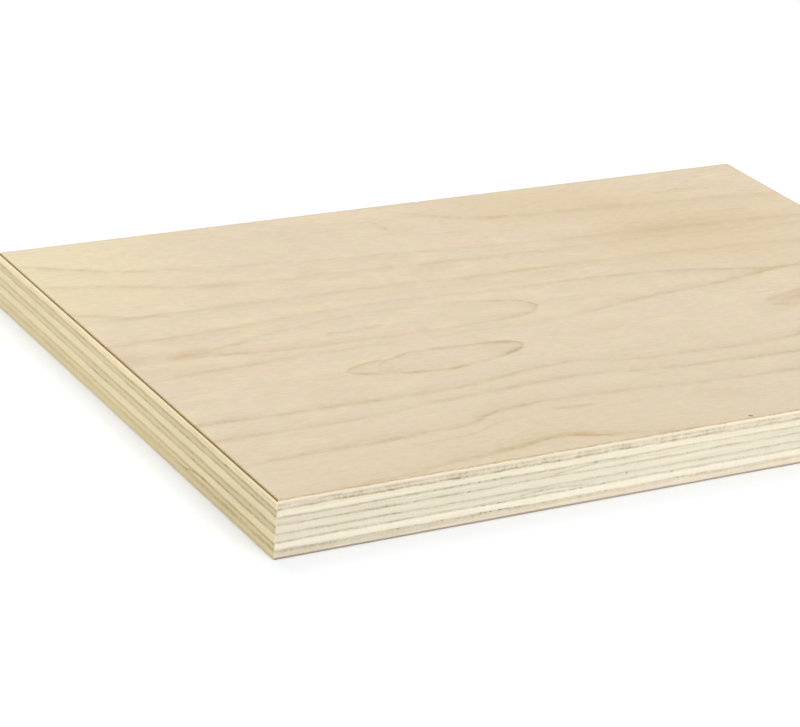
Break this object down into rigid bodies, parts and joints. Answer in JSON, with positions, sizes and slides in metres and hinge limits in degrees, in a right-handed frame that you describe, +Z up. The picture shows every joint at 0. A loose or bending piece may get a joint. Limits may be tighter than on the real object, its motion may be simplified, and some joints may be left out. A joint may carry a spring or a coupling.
{
  "type": "plywood sheet",
  "caption": "Flat rectangular plywood panel: pale maple face veneer over crosswise veneer plies that show as bands on the sawn edges.",
  "frame": {"origin": "middle of the underside, on the surface that the sheet lies on", "axes": "+X along the grain of the face, which is the sheet's length; +Y across it; +Z up, out of the face veneer"},
  "size_m": [0.3, 0.2, 0.019],
  "materials": {
    "maple_veneer": "sanded, unfinished flat-sliced maple",
    "long_grain_ply": "sawn peeled veneer, grain along the sheet",
    "cross_grain_ply": "sawn peeled veneer, grain across the sheet"
  },
  "bodies": {
    "root": {"face_veneer": "maple_veneer", "upper_crossband": "cross_grain_ply", "upper_long_ply": "long_grain_ply", "upper_cross_ply": "cross_grain_ply", "centre_ply": "long_grain_ply", "lower_cross_ply": "cross_grain_ply", "lower_long_ply": "long_grain_ply", "lower_crossband": "cross_grain_ply", "back_veneer": "maple_veneer"}
  },
  "joints": []
}
